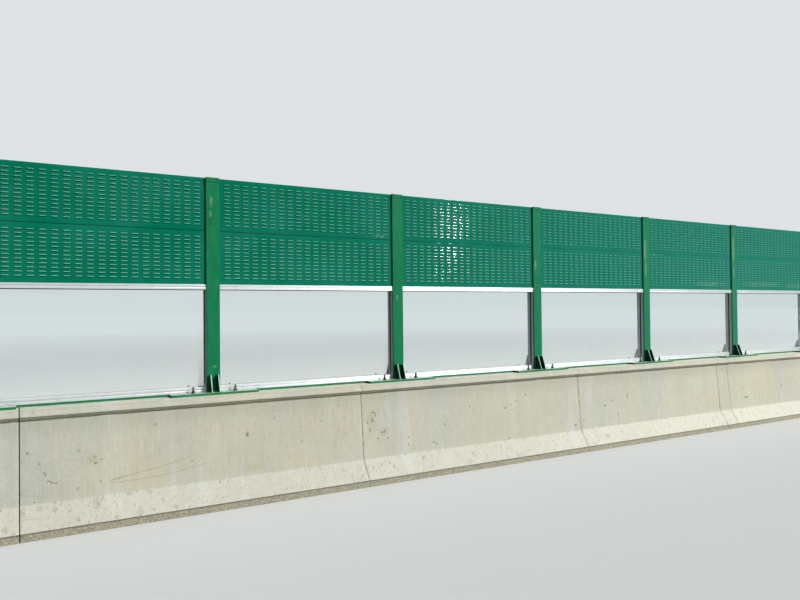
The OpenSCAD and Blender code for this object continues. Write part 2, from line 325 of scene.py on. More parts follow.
class Finish:
    """One surface finish while its nodes are put together, placed in the part's own frame.
    Colours are display colours from 0 to 255 or outputs of nodes."""

    def __init__(self, name, roughness=0.5, metallic=0.0, specular=0.5):
        self.material = bpy.data.materials.new(name)
        self.material.use_nodes = True
        self.tree = self.material.node_tree
        self.shader = self.tree.nodes["Principled BSDF"]
        self.shader.inputs["Metallic"].default_value = metallic
        self.shader.inputs["Specular IOR Level"].default_value = specular
        self.roughness(roughness)
        self.place = self.node("ShaderNodeTexCoord").outputs["Object"]
        self.x, self.y, self.z = self.node("ShaderNodeSeparateXYZ", {0: self.place}).outputs

    def node(self, kind, values=None, **settings):
        """Adds a node to this finish."""
        return new_node(self.tree, kind, values, **settings)

    def calc(self, kind, first, second=0.0, third=0.0):
        """Result of one sum on numbers or outputs."""
        return self.node("ShaderNodeMath", {0: first, 1: second, 2: third}, operation=kind).outputs[0]

    def times(self, first, *others):
        """Product of numbers or outputs."""
        for other in others:
            first = self.calc("MULTIPLY", first, other)
        return first

    def plus(self, first, *others):
        """Sum of numbers or outputs."""
        for other in others:
            first = self.calc("ADD", first, other)
        return first

    def stretched(self, stretch, lean=0.0):
        """The part's frame turned by lean about Y, then each axis multiplied, so that a texture runs
        long or short on it."""
        if not isinstance(stretch, tuple):
            stretch = (stretch, stretch, stretch)
        place = self.place
        if lean:
            turn = {"Vector": place, "Rotation": (0.0, lean, 0.0)}
            place = self.node("ShaderNodeMapping", turn).outputs[0]
        return self.node("ShaderNodeMapping", {"Vector": place, "Scale": stretch}).outputs[0]

    def cloud(self, stretch, detail=2.0, rough=0.5, lean=0.0):
        """Soft noise from 0 to 1, with cells 1 / stretch metres long."""
        return self.node("ShaderNodeTexNoise", {
            "Vector": self.stretched(stretch, lean), "Scale": 1.0, "Detail": detail, "Roughness": rough,
        }).outputs["Fac"]

    def cells(self, stretch):
        """Distance from the middle of cells 1 / stretch metres wide, and two tones that each has."""
        node = self.node("ShaderNodeTexVoronoi", {"Vector": self.stretched(stretch), "Scale": 1.0})
        tones = self.node("ShaderNodeSeparateColor", {0: node.outputs["Color"]}).outputs
        return node.outputs["Distance"], tones[0], tones[1]

    def specks(self, per_metre, share, size, stretch=(1.0, 1.0, 1.0)):
        """1 in scattered round specks: share of the cells that hold one, and its radius in cells."""
        distance, tone, other_tone = self.cells(tuple(per_metre * s for s in stretch))
        reach = self.calc("MULTIPLY_ADD", other_tone, size, size * 0.4)
        near = self.calc("SUBTRACT", 1.0, self.calc("DIVIDE", distance, reach))
        return self.times(self.calc("LESS_THAN", tone, share), self.ease(near, 0.0, 0.5))

    def ease(self, value, low, high):
        """0 below low, 1 above high, and smooth between; low may be the larger."""
        return smooth(self.tree, value, low, high)

    def spread(self, value, low, high):
        """A 0 to 1 value spread evenly from low to high."""
        values = {"Value": value, "To Min": low, "To Max": high}
        return self.node("ShaderNodeMapRange", values).outputs["Result"]

    def stripe(self, value, middle, edge, core):
        """1 where a value is within core of the middle, easing to 0 at edge."""
        return self.ease(self.calc("ABSOLUTE", self.calc("SUBTRACT", value, middle)), edge, core)

    def blend(self, share, first, second):
        """Colour that goes from first to second as share goes from 0 to 1."""
        values = {"Factor": share, 6: colour_of(first), 7: colour_of(second)}
        return self.node("ShaderNodeMix", values, data_type="RGBA").outputs[2]

    def shade(self, colour, *levels):
        """Colour made lighter or darker by levels that are 1 where nothing changes."""
        colour = colour_of(colour)
        if isinstance(colour, tuple):
            colour = colour[:3]
        values = {0: colour, "Scale": self.times(*levels)}
        return self.node("ShaderNodeVectorMath", values, operation="SCALE").outputs[0]

    def facing(self, axis, low, high):
        """0 to 1 as the surface's normal goes from low to high along an axis: 0 for X, 2 for Z."""
        normal = self.node("ShaderNodeNewGeometry").outputs["Normal"]
        return self.ease(self.node("ShaderNodeSeparateXYZ", {0: normal}).outputs[axis], low, high)

    def grazing_end_ramp(self, low=0.0, high=1.0):
        """Low at the left end of the run and high at its right end; where it makes a colour paler it is
        painted sheen of the end seen at a grazing angle.
        """
        return self.spread(self.ease(self.x, -5.0, 5.5), low, high)

    def spots(self, grain, ragged, places):
        """1 in patches through the part, each x, z, half width and half height, with edges that follow a
        grain from 0 to 1."""
        found = None
        fray = self.spread(grain, ragged, -ragged)
        for x, z, wide, high in places:
            dx = self.calc("DIVIDE", self.calc("SUBTRACT", self.x, x), wide)
            dz = self.calc("DIVIDE", self.calc("SUBTRACT", self.z, z), high)
            patch = self.plus(self.times(dx, dx), self.times(dz, dz), fray)
            found = patch if found is None else self.calc("MINIMUM", found, patch)
        return self.ease(found, 1.3, 0.3)

    def colour(self, value):
        """Sets the colour, to be worked on by lay and tone."""
        self.paint = value
        give(self.tree, self.shader.inputs["Base Color"], value)

    def lay(self, over, *shares):
        """Covers the colour so far with another, as far as the product of the shares says."""
        self.colour(self.blend(self.times(*shares), self.paint, over))

    def tone(self, *levels):
        """Makes the colour so far lighter or darker."""
        self.colour(self.shade(self.paint, *levels))

    def roughness(self, value):
        give(self.tree, self.shader.inputs["Roughness"], value)

    def bump(self, height, depth):
        """Gives the surface a relief: height from 0 to 1, depth in metres."""
        relief = self.node("ShaderNodeBump", {"Distance": depth, "Height": height})
        self.tree.links.new(relief.outputs[0], self.shader.inputs["Normal"])


def seen_at(px, py):
    """X and Z of the place on the parapet's road side that the photograph shows at a pixel."""
    focal_px = LENS_MM / SENSOR_MM * PHOTO_WIDE
    look = focal_px * ahead + (px - PHOTO_WIDE / 2) * right + (PHOTO_HIGH / 2 - py) * up
    for above, below in (FACE, TOE):
        lean = (above[0] - below[0]) / (above[1] - below[1])
        reach = (below[0] - EYE.y + lean * (EYE.z - below[1])) / (look.y - lean * look.z)
        place = EYE + reach * look
        if place.z >= below[1]:
            break
    return place.x, place.z


def seen_marks(marks):
    """Marks with X and Z in place of the pixels where they were read off the photograph."""
    return [(*seen_at(px, py), wide, high) for px, py, wide, high in marks]


# Concrete: beige grey, with faint upright run marks from the forms, soft clouds and blow holes.
# Traffic, rain and rust have stained it.
FACE_WARM = (191, 188, 168)
FACE_COOL = (184, 185, 172)
TOE_COLOUR = (189, 188, 174)
KERB_COLOUR = (160, 156, 136)
KERB_LINE_DARK = (72, 70, 60)
HOLE_SHADE_GREY = (106, 103, 88)
LIME = (206, 210, 210)
STAIN_BROWN = (100, 91, 60)
STAIN_TAN = (162, 155, 110)
STAIN_GREY = (126, 128, 118)
LIP_Z = 0.931
SHADE_Z = 0.900
FORM_SEAM_Z = 0.9865
CRACK_X = 3.545
# Marks read off the photograph: the pixel, then half width and half height in metres
SMUDGES_SEEN = (
    (23, 512.5, 0.020, 0.030), (39, 509, 0.022, 0.022), (55, 510, 0.020, 0.022),
    (97, 503.5, 0.030, 0.045), (78, 519, 0.022, 0.020), (140.5, 511.5, 0.026, 0.034),
    (129.5, 493.5, 0.030, 0.016), (117.5, 516.5, 0.030, 0.014), (176, 507, 0.024, 0.024),
    (150, 492, 0.026, 0.016), (5, 530.5, 0.020, 0.030), (79, 450.5, 0.018, 0.022),
    (159.5, 450, 0.012, 0.022), (78, 488.5, 0.018, 0.016), (101, 481.5, 0.012, 0.014),
    (247, 434.5, 0.016, 0.012), (274, 418, 0.014, 0.014), (344, 418, 0.012, 0.014),
    (321, 420.5, 0.012, 0.014), (255.5, 424, 0.014, 0.014), (300.5, 427.5, 0.016, 0.014),
    (346, 434.5, 0.014, 0.018), (302, 441.5, 0.016, 0.016), (339, 406, 0.012, 0.014),
    (319.5, 467, 0.018, 0.022), (394.5, 466.5, 0.020, 0.026), (423, 458, 0.018, 0.024),
    (474, 454, 0.026, 0.030), (608.5, 435.5, 0.030, 0.024),
)
HALOES_SEEN = (
    (371, 420.5, 0.055, 0.120), (384.5, 432, 0.050, 0.050), (247.5, 434.5, 0.030, 0.040),
    (155.5, 424.5, 0.030, 0.024), (253.5, 467, 0.110, 0.040), (93, 459.5, 0.050, 0.050),
)
RUST_SEEN = (
    (373.5, 412.5, 0.026, 0.010), (375.5, 414.5, 0.008, 0.022), (372.5, 420.5, 0.012, 0.024),
    (367.5, 423, 0.010, 0.014), (370, 430, 0.010, 0.016), (382.5, 432, 0.024, 0.009),
    (385, 431, 0.009, 0.022), (388, 438, 0.014, 0.013), (378, 438.5, 0.018, 0.009),
    (409, 437, 0.009, 0.016), (408.5, 444.5, 0.009, 0.020), (434, 442, 0.020, 0.011),
    (437, 443.5, 0.016, 0.009), (444.5, 424.5, 0.012, 0.013), (247.5, 434.5, 0.013, 0.020),
    (274, 419, 0.014, 0.006), (274, 411, 0.007, 0.008), (27.5, 453.5, 0.011, 0.014),
    (39.5, 464, 0.008, 0.009), (44, 473, 0.007, 0.012), (45.5, 475, 0.006, 0.012),
    (48.5, 481.5, 0.014, 0.008), (52, 482.5, 0.014, 0.008), (56, 483, 0.018, 0.006),
    (94.5, 457, 0.006, 0.012), (91, 461, 0.007, 0.008), (95.5, 463, 0.015, 0.010),
    (155.5, 424.5, 0.010, 0.008), (470, 406.5, 0.012, 0.012), (505.5, 408, 0.020, 0.012),
    (511, 404.5, 0.014, 0.010), (516, 401.5, 0.012, 0.008), (525.5, 395, 0.014, 0.012),
    (509.5, 438, 0.018, 0.012), (575.5, 425, 0.022, 0.014), (584, 420.5, 0.016, 0.010),
    (605, 405.5, 0.032, 0.011), (611, 400.5, 0.014, 0.012), (618.5, 414, 0.016, 0.011),
    (627.5, 395.5, 0.016, 0.036), (722, 369.5, 0.018, 0.010), (746.5, 397, 0.060, 0.014),
    (781.5, 384.5, 0.024, 0.012),
)
# Scrapes: the pixels where each starts and ends, how far it sags between them, and its strength
SCRAPES_SEEN = (
    ((108, 480), (214, 448), 0.075, 0.60),
    ((108.5, 483), (236, 452), 0.170, 0.50),
    ((109, 481.5), (130.5, 475), 0.0, 0.50),
    ((16.5, 495.5), (53.5, 497.5), 0.0, 0.40),
    ((16.5, 521), (51.5, 518), 0.0, 0.35),
)

cast = Finish("cast_concrete", specular=0.2)
ragged_edge = cast.spread(cast.cloud(30, 3), -0.004, 0.004)
on_toe = cast.ease(cast.plus(cast.z, ragged_edge), BREAK_Z + 0.007, BREAK_Z - 0.005)
on_kerb = cast.ease(cast.z, KERB_Z - 0.002, KERB_Z - 0.006)
on_lip = cast.ease(cast.z, LIP_Z - 0.005, LIP_Z + 0.005)
clouds = cast.cloud((1.5, 1.5, 1.1), 4, 0.55)
tint = cast.cloud((1.7, 1, 0.8), 3)
runs = cast.cloud((34, 6, 1.1), 3, 0.6)
fine_runs = cast.cloud((110, 20, 6), 3, 0.7)
pepper = cast.cloud((85, 60, 60), 3, 0.75)
grain = cast.cloud(420, 2, 0.7)
mottle = cast.cloud((16, 16, 10), 4, 0.65)
# Face and toe grow paler towards the right end: painted sheen of the far lengths seen at a grazing angle
face_colour = cast.shade(
    cast.blend(cast.ease(tint, 0.35, 0.70), FACE_WARM, FACE_COOL),
    cast.spread(clouds, 0.91, 1.09), cast.spread(runs, 0.91, 1.09), cast.spread(fine_runs, 0.86, 1.14),
    cast.spread(mottle, 0.89, 1.11), cast.grazing_end_ramp(1.0, 1.16),
)
toe_colour = cast.shade(
    TOE_COLOUR, cast.spread(clouds, 0.93, 1.07), cast.spread(mottle, 0.86, 1.13), cast.grazing_end_ramp(1.0, 1.30)
)
cast.colour(cast.blend(on_toe, face_colour, toe_colour))
cast.lay(LIME, cast.ease(cast.cloud((4.6, 1, 0.7), 3, 0.6), 0.54, 0.70), 0.30)
# The lip and the top are painted darker: painted shade that tempers the lamp on faces that lean up
cast.tone(cast.spread(on_lip, 1.0, 0.86))
# The face is a little darker under the lip, with damp runs. The band in the lip's shadow is painted
# lighter: painted light that softens that shadow.
under_lip = cast.ease(cast.z, 0.70, SHADE_Z)
cast.lay(STAIN_GREY, under_lip, cast.spread(runs, 0.0, 0.40), cast.calc("SUBTRACT", 1.0, on_lip))
painted_light_under_lip = cast.times(
    cast.ease(cast.z, SHADE_Z - 0.003, SHADE_Z + 0.003), cast.ease(cast.z, LIP_Z + 0.006, LIP_Z)
)
cast.tone(cast.spread(painted_light_under_lip, 1.0, 1.55))
# A form seam runs along the lip, just under its top edge
cast.lay(STAIN_GREY, cast.stripe(cast.z, FORM_SEAM_Z, 0.0050, 0.0015), 0.22)
# Grey smears and smudges on the toe, thrown up by traffic, and a few on the face
fray = cast.cloud(75, 4, 0.75)
smears = cast.times(cast.ease(cast.cloud((52, 20, 20), 3, 0.65, lean=-0.6), 0.58, 0.68), on_toe)
smudges = cast.times(
    cast.spots(fray, 2.2, seen_marks(SMUDGES_SEEN)),
    cast.spread(cast.ease(pepper, 0.40, 0.60), 1.0, 0.2),
)
cast.lay(STAIN_GREY, cast.calc("MAXIMUM", smears, smudges), 0.55)
# Rust: tan haloes, small brown spots beside the second joint, and long tan scrapes along the face
cast.lay(STAIN_TAN, cast.spots(fray, 2.0, seen_marks(HALOES_SEEN)), 0.26)
cast.lay(STAIN_BROWN, cast.spots(fray, 2.0, seen_marks(RUST_SEEN)), 0.58)
wobble = cast.spread(cast.cloud((9, 1, 9), 3), -0.012, 0.012)
for from_px, to_px, sag, strength in SCRAPES_SEEN:
    start, start_z = seen_at(*from_px)
    stop, stop_z = seen_at(*to_px)
    share = cast.calc("DIVIDE", cast.calc("SUBTRACT", cast.x, start), stop - start)
    chord = cast.calc("MULTIPLY_ADD", share, stop_z - start_z - sag, start_z)
    line = cast.calc("MULTIPLY_ADD", cast.times(share, share), sag, chord)
    scrape = cast.stripe(cast.plus(cast.z, wobble), line, 0.0070, 0.0015)
    cast.lay(STAIN_TAN, scrape, cast.ease(share, 0.0, 0.04), cast.ease(share, 1.0, 0.6), strength)
# A hairline crack beside the fourth joint
cast.lay(STAIN_GREY, cast.stripe(cast.plus(cast.x, wobble), CRACK_X, 0.0120, 0.0040), 0.60)
# Kerb band of rough, exposed stones with a darker line along the groove at its top
stones = cast.cells(110)[1]
# The kerb too grows paler towards the right end: painted sheen
kerb_colour = cast.shade(
    KERB_COLOUR, cast.spread(stones, 0.66, 1.22), cast.spread(pepper, 0.62, 1.38), cast.grazing_end_ramp(1.0, 1.20)
)
cast.lay(kerb_colour, on_kerb)
kerb_top_line = cast.times(
    cast.ease(cast.z, KERB_Z - 0.0085, KERB_Z - 0.0065), cast.ease(cast.z, KERB_Z + 0.0035, KERB_Z + 0.0015)
)
cast.lay(KERB_LINE_DARK, kerb_top_line, 0.60)
# Blow holes, fewer on the face and many on the toe, painted darker: painted shade in their hollows
face_holes = cast.calc("MAXIMUM", cast.specks(8, 0.20, 0.070), cast.specks(22, 0.16, 0.095))
toe_holes = cast.times(cast.specks(17, 0.60, 0.110, (1.2, 1.0, 0.8)), on_toe)
holes = cast.calc("MAXIMUM", face_holes, toe_holes)
cast.lay(HOLE_SHADE_GREY, holes, 0.62)
cast.tone(cast.spread(grain, 0.90, 1.10), cast.spread(pepper, 0.80, 1.20))
cast.roughness(cast.spread(mottle, 0.78, 0.95))
cast.bump(cast.plus(
    cast.times(holes, -1.0), cast.times(grain, 0.22), cast.times(runs, 0.15),
    cast.times(pepper, on_kerb, 3.0),
), 0.0016)

# Cast lengths: their ends are a little rounded, with broken edges, and the lip's lower edge is worn.
# Chips are where pieces of the lip have broken away: x, half length and depth.
END_ROUND = 0.006
END_EASE = 0.0012
BROKEN_REACH = 0.020
BROKEN_DEPTH = 0.014
STONES_FROM = 0.002
STONE_RELIEF = 0.0022
LIP_EDGE_Z = (0.930, 0.960)
LIP_EDGE_Y = -0.140
LIP_WEAR = 0.016
LIP_CHIPS = ((1.155, 0.035, 0.008), (1.250, 0.022, 0.010), (-3.62, 0.018, 0.006), (4.62, 0.030, 0.008))


def lumps(x, y, z, over):
    """Noise at a place, less a level under which nothing counts."""
    return max(0.0, noise.noise(Vector((x, y, z))) - over)


outline, outward, outline_rough = rounded_outline(PARAPET_CORNERS, CORNER_STEPS)
for number in range(1, 6):
    node_name = f"parapet_cast_{number}"
    low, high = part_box(node_name)
    rings = []
    for x in cast_stations(low.x, high.x, PARAPET_SPACING):
        from_end = min(x - low.x, high.x - x)
        ease_in = END_EASE * max(0.0, 1.0 - from_end / END_ROUND) ** 2
        ring = []
        for (y, z), (ny, nz), rough in zip(outline, outward, outline_rough):
            wave = noise.noise(Vector((x * 1.7, y * 3.0, z * 1.7)))
            fine = noise.noise(Vector((x * 26.0, y * 26.0, z * 26.0 + 7.0)))
            shift = -rough * (0.55 + 0.45 * wave + 0.9 * abs(fine))
            if rough > STONES_FROM:
                shift -= STONE_RELIEF * abs(noise.noise(Vector((x * 95.0, 3.0, z * 95.0))))
            if from_end < BROKEN_REACH and z > 0.01:
                broken = BROKEN_DEPTH * lumps(x * 9.0, y * 21.0 + 4.0, z * 21.0, 0.22)
                shift -= broken * (1.0 - from_end / BROKEN_REACH) + ease_in
            if LIP_EDGE_Z[0] < z < LIP_EDGE_Z[1] and y < LIP_EDGE_Y:
                shift -= LIP_WEAR * lumps(x * 5.0, 9.0, 2.0, 0.36)
                for chip_x, half, depth in LIP_CHIPS:
                    shift -= depth * max(0.0, 1.0 - abs(x - chip_x) / half)
            ring.append((x, y + ny * shift, max(0.0, z + nz * shift)))
        rings.append(np.array(ring))
    show(f"parapet_length_{number}", coated(loft(node_name, rings), cast), "concrete", node_name)

# Joints: a board cast in between two lengths. It lies just under the surface, and deep in the first
# joint, which has lost its seal.
BOARD_PLAY = 0.0002
BOARD_BELOW = (0.030, 0.003, 0.003, 0.003)
BOARD_EDGE = 0.0005

board = Finish("joint_board", roughness=0.9, specular=0.1)
board_grain = board.cloud(200, 3, 0.7)
board.colour(board.blend(board_grain, (112, 110, 98), (158, 155, 138)))
board.bump(board_grain, 0.0006)
for number, below in enumerate(BOARD_BELOW, start=1):
    low_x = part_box(f"parapet_cast_{number}")[1].x + BOARD_PLAY
    high_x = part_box(f"parapet_cast_{number + 1}")[0].x - BOARD_PLAY
    sunk_corners = [
        (y + below if y < 0 else y - below, z - below if z > 0.98 else z, BOARD_EDGE, 0.1, 0.0)
        for y, z, *_ in PARAPET_CORNERS
    ]
    sunk = rounded_outline(sunk_corners, 1)[0]
    rings = [np.column_stack((np.full(len(sunk), x), sunk)) for x in (low_x, high_x)]
    show(f"joint_board_{number}", coated(loft("joint_board", rings), board), "concrete")

# Steelwork: hot-rolled posts on drilled base plates with welded gussets, painted green after welding.
# The strips between the plates are flats of the same steel, laid on the parapet.
STEEL_EDGE = 0.0012
SHEET_EDGE = 0.0006
POST_PITCH = 2.0
POSTS = 7
POST_XS = [(i - (POSTS - 1) / 2) * POST_PITCH for i in range(POSTS)]
POST_GREEN = (10, 118, 73)
POST_GREEN_LIGHT = (22, 125, 82)
POST_GREEN_DARK = (6, 111, 67)
POST_GREEN_SHEEN = (42, 134, 98)
LEE_FACE_SHADE = (8, 22, 22)
SCUFF_PALE = (150, 186, 152)
LOW_DUST = (118, 140, 118)
TOP_DUST_AND_SHEEN = (176, 184, 166)
# Knocks on the posts: x, z, half width and half height
KNOCKS = (
    (-4.020, 2.680, 0.012, 0.026), (-3.990, 1.255, 0.020, 0.012), (-4.015, 2.800, 0.014, 0.050),
    (1.975, 2.560, 0.020, 0.150), (1.985, 2.310, 0.016, 0.110), (3.980, 2.640, 0.022, 0.190),
    (3.990, 2.300, 0.014, 0.090), (-0.030, 2.300, 0.012, 0.060), (-2.010, 1.900, 0.012, 0.030),
)


def eased(node_name, edge, steps=2):
    """Copy of a CAD node with joined flat faces and rounded edges, as cut and painted metal has."""
    shape = bmesh.new()
    shape.from_mesh(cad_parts[node_name].data)
    bmesh.ops.remove_doubles(shape, verts=shape.verts, dist=1e-5)
    bmesh.ops.dissolve_limit(
        shape, angle_limit=math.radians(0.5), verts=shape.verts, edges=shape.edges
    )
    sharp = [e for e in shape.edges if len(e.link_faces) == 2 and e.calc_face_angle() > math.radians(24)]
    bevelled = bmesh.ops.bevel(
        shape, geom=sharp, offset=edge, offset_type="OFFSET", segments=steps, profile=0.5,
        affect="EDGES", clamp_overlap=True,
    )
    for face in shape.faces:
        face.smooth = False
    for face in bevelled["faces"]:
        face.smooth = True
    mesh = bpy.data.meshes.new(node_name)
    shape.to_mesh(mesh)
    shape.free()
    return mesh


paint = Finish("post_paint", specular=0.08)
brushed_on = paint.cloud((24, 24, 5), 4, 0.6)
paint_patches = paint.cloud((9, 9, 4), 3, 0.6)
paint_runs = paint.cloud((70, 70, 2.5), 2, 0.6)
orange_peel = paint.cloud(260)
paint.colour(paint.blend(paint.ease(brushed_on, 0.40, 0.64), POST_GREEN, POST_GREEN_LIGHT))
paint.lay(POST_GREEN_DARK, paint.ease(paint_patches, 0.50, 0.76))
# Paler towards the right end: painted sheen of the posts seen at a grazing angle
paint.lay(POST_GREEN_SHEEN, paint.grazing_end_ramp(0.0, 0.8))
paint.tone(paint.spread(paint_runs, 0.91, 1.09))
# Pale scuffs from handling, scattered thinly and in a few plain places
scuff_grain = paint.cloud((150, 150, 110), 3, 0.7)
scuffed = paint.times(
    paint.ease(scuff_grain, 0.58, 0.68),
    paint.spread(paint.ease(paint.cloud((5, 5, 3.4)), 0.46, 0.62), 0.25, 1.0),
)
knocks = paint.times(
    paint.spots(scuff_grain, 2.6, KNOCKS), paint.ease(scuff_grain, 0.40, 0.58), paint.grazing_end_ramp(0.40, 0.80)
)
paint.lay(SCUFF_PALE, paint.calc("MAXIMUM", paint.times(scuffed, 0.20), knocks))
paint.lay(LOW_DUST, paint.ease(paint.z, 1.12, 1.02), paint.spread(brushed_on, 0.0, 0.16))
# Upward faces are paler: dust, and painted sheen of the light from above
paint.lay(TOP_DUST_AND_SHEEN, paint.facing(2, 0.80, 0.95), paint.spread(brushed_on, 0.55, 0.95))
# Faces turned away from the lamp, low down, are painted nearly black: painted shade
paint.lay(LEE_FACE_SHADE, paint.facing(0, -0.6, -0.9), paint.ease(paint.z, 1.26, 1.20), 0.88)
paint.roughness(paint.spread(brushed_on, 0.42, 0.56))
paint.bump(paint.plus(orange_peel, paint.times(paint_runs, 0.8)), 0.00035)

# On the road side the front edges of the gussets are painted pale: a painted highlight where they face the
# lamp, and thin worn paint.
LIT_EDGE_FACING = 0.6
gusset_edge_paint = Finish("gusset_edge_highlight", roughness=0.6, specular=0.2)
edge_grain = gusset_edge_paint.cloud((90, 90, 40), 3, 0.7)
gusset_edge_paint.colour(gusset_edge_paint.blend(gusset_edge_paint.ease(edge_grain, 0.38, 0.62), (196, 222, 206), (128, 182, 154)))
gusset_edge_paint.bump(edge_grain, 0.0002)
for node_name in ("base_plates", "gussets", "sill_strips"):
    mesh = coated(eased(node_name, STEEL_EDGE), paint, gusset_edge_paint)
    if node_name == "gussets":
        for face in mesh.polygons:
            on_road_side = face.center.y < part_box("post_1")[0].y
            face.material_index = int(on_road_side and abs(face.normal.x) < LIT_EDGE_FACING)
    show(f"painted_{node_name}", mesh, "post_paint", node_name)
for number in range(1, POSTS + 1):
    mesh = coated(eased(f"post_{number}", STEEL_EDGE), paint)
    show(f"painted_post_{number}", mesh, "post_paint", f"post_{number}")

# Weld beads run up both sides of each gusset on the flange, and along it on the base plate.
# They are fillets of about 5 mm, uneven where the welder paused, under the same paint.
WELD_LEG = 0.0045
WELD_BULGE = 1.24
WELD_ROOT = 0.25
WELD_STEP = 0.008
GUSSET_AT = 0.035
GUSSET_HALF = 0.005
UPRIGHT_WELD = (0.018, 0.158)
FLAT_WELD = (0.018, 0.093)
rng = np.random.default_rng(20)
plate_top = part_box("base_plates")[1].z + 0.0003
front_flange, back_flange = (corner.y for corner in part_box("post_1"))
upwards = Vector((0.0, 0.0, 1.0))
weld_points = []
weld_faces = []


def weld_bead(start, stop, first_leg, second_leg):
    """Adds a fillet from start to stop; its legs lie on the two faces that it joins."""
    count = max(2, round((stop - start).length / WELD_STEP))
    weld_faces.extend(skin(4, count + 1, base=len(weld_points)))
    for k in range(count + 1):
        swell = 0.35 if k in (0, count) else rng.uniform(0.82, 1.12)
        middle = start.lerp(stop, k / count)
        weld_points.append(tuple(middle - (first_leg + second_leg) * WELD_LEG * WELD_ROOT))
        for turn, bulge in ((0.0, 1.0), (0.5, WELD_BULGE), (1.0, 1.0)):
            arm = first_leg.lerp(second_leg, turn) * WELD_LEG * swell * bulge
            weld_points.append(tuple(middle + arm))


for post_x in POST_XS:
    for side in (-1, 1):
        for face in (-1, 1):
            off = Vector((face, 0.0, 0.0))
            for flange_y, outward_y in ((front_flange, -1), (back_flange, 1)):
                away = Vector((0.0, outward_y, 0.0))
                foot = Vector((post_x + side * GUSSET_AT + face * GUSSET_HALF, flange_y, plate_top))
                weld_bead(foot + UPRIGHT_WELD[0] * upwards, foot + UPRIGHT_WELD[1] * upwards, off, away)
                weld_bead(foot + FLAT_WELD[0] * away, foot + FLAT_WELD[1] * away, off, upwards)
show("weld_beads", coated(built("weld_beads", weld_points, weld_faces), paint), "post_paint")

# Post caps: one sheet folded over each post, held by two rivets at the front and two at the back.
# The rivets are plain steel and have rusted.
RIVET_APART = 0.040
RIVET_Z = 3.0015
RIVET_R = 0.0060
RIVET_RISE = 0.0032
RIVET_SIDES = 16


def turned(rows, sides):
    """Points and faces of a closed round shape from rows of radius and height, bottom to top."""
    points = [(0.0, 0.0, rows[0][1])]
    for radius, height in rows:
        for k in range(sides):
            angle = 2 * math.pi * k / sides
            points.append((radius * math.cos(angle), radius * math.sin(angle), height))
    points.append((0.0, 0.0, rows[-1][1]))
    faces = []
    for k in range(sides):
        after = (k + 1) % sides
        faces.append((0, 1 + after, 1 + k))
        for r in range(len(rows) - 1):
            low_ring = 1 + r * sides
            high_ring = low_ring + sides
            faces.append((low_ring + k, low_ring + after, high_ring + after, high_ring + k))
        top_ring = 1 + (len(rows) - 1) * sides
        faces.append((top_ring + k, top_ring + after, len(points) - 1))
    return np.array(points), faces


def gathered(name, shapes):
    """One mesh of many placed shapes, each a pair of points and faces."""
    points = []
    faces = []
    for shape_points, shape_faces in shapes:
        base = len(points)
        points.extend(map(tuple, shape_points))
        faces.extend(tuple(base + v for v in face) for face in shape_faces)
    return built(name, points, faces, math.radians(40))


show("painted_caps", coated(eased("post_caps", SHEET_EDGE), paint), "post_paint", "post_caps")

rusty = Finish("rusted_steel", roughness=0.85, specular=0.2)
rust_grain = rusty.cloud(700, 3)
rusty.colour(rusty.blend(rusty.ease(rust_grain, 0.35, 0.65), (104, 62, 36), (58, 46, 36)))
rusty.bump(rust_grain, 0.0004)
cap_low, cap_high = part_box("post_caps")
rivet_points, rivet_faces = turned([
    (RIVET_R, -0.001), (RIVET_R, 0.0004), (RIVET_R * 0.86, RIVET_RISE * 0.6),
    (RIVET_R * 0.55, RIVET_RISE * 0.9), (RIVET_R * 0.2, RIVET_RISE),
], RIVET_SIDES)
rivets = []
for post_x in POST_XS:
    for side in (-1, 1):
        for cap_y, outward_y in ((cap_low.y, -1), (cap_high.y, 1)):
            placed = np.column_stack((
                post_x + side * RIVET_APART + rivet_points[:, 0],
                cap_y + outward_y * rivet_points[:, 2],
                RIVET_Z + outward_y * rivet_points[:, 1],
            ))
            rivets.append((placed, rivet_faces))
show("cap_rivets", coated(gathered("cap_rivets", rivets), rusty), "bolt_zinc")

# Anchors: threaded studs cast into the parapet, each with a washer and a hexagon nut on the plate.
# They are galvanised and weathered to a dull dark grey.
STUD_R = 0.010
THREAD_DEPTH = 0.0012
THREAD_PITCH = 0.0025
STUD_SIDES = 14
NUT_FLATS = 0.032
NUT_HIGH = 0.017
NUT_SIDES = 48
NUT_TURNED = 0.96
NUT_SLOPE = 0.577
WASHER_R = 0.019
WASHER_HIGH = 0.003
WASHER_SIDES = 28
ANCHOR_APART_X = 0.195
ANCHOR_Y = (0.0005, 0.2005)
EMBEDDED = 0.12
STUD_OVER = 0.008

stud_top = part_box("anchor_bolts")[1].z + STUD_OVER
stud_rows = [(STUD_R, plate_top - EMBEDDED), (STUD_R, plate_top - 0.001)]
height = plate_top
while height < stud_top - 0.004:
    stud_rows.append((STUD_R - THREAD_DEPTH, height))
    stud_rows.append((STUD_R, height + THREAD_PITCH / 2))
    height += THREAD_PITCH
stud_rows += [(STUD_R - THREAD_DEPTH, stud_top - 0.002), (STUD_R - 0.003, stud_top)]
stud = turned(stud_rows, STUD_SIDES)
washer = turned([
    (WASHER_R - 0.0004, plate_top), (WASHER_R, plate_top + 0.0005),
    (WASHER_R, plate_top + WASHER_HIGH - 0.0005), (WASHER_R - 0.0005, plate_top + WASHER_HIGH),
], WASHER_SIDES)


def hexagon_nut(low_z):
    """Hexagon nut whose corners are turned down to a cone at both ends."""
    flat = NUT_FLATS / 2
    points = []
    for level, inwards, on_cone in ((0.0, 1, 1), (0.0, 1, 0), (NUT_HIGH, -1, 0), (NUT_HIGH, -1, 1)):
        for k in range(NUT_SIDES):
            angle = 2 * math.pi * k / NUT_SIDES
            to_flat = (angle + math.pi / 6) % (math.pi / 3) - math.pi / 6
            radius = flat * NUT_TURNED if on_cone else flat / math.cos(to_flat)
            drop = 0.0 if on_cone else (radius - flat) * NUT_SLOPE
            z = low_z + level + inwards * drop
            points.append((radius * math.cos(angle), radius * math.sin(angle), z))
    return np.array(points), skin(NUT_SIDES, 4)


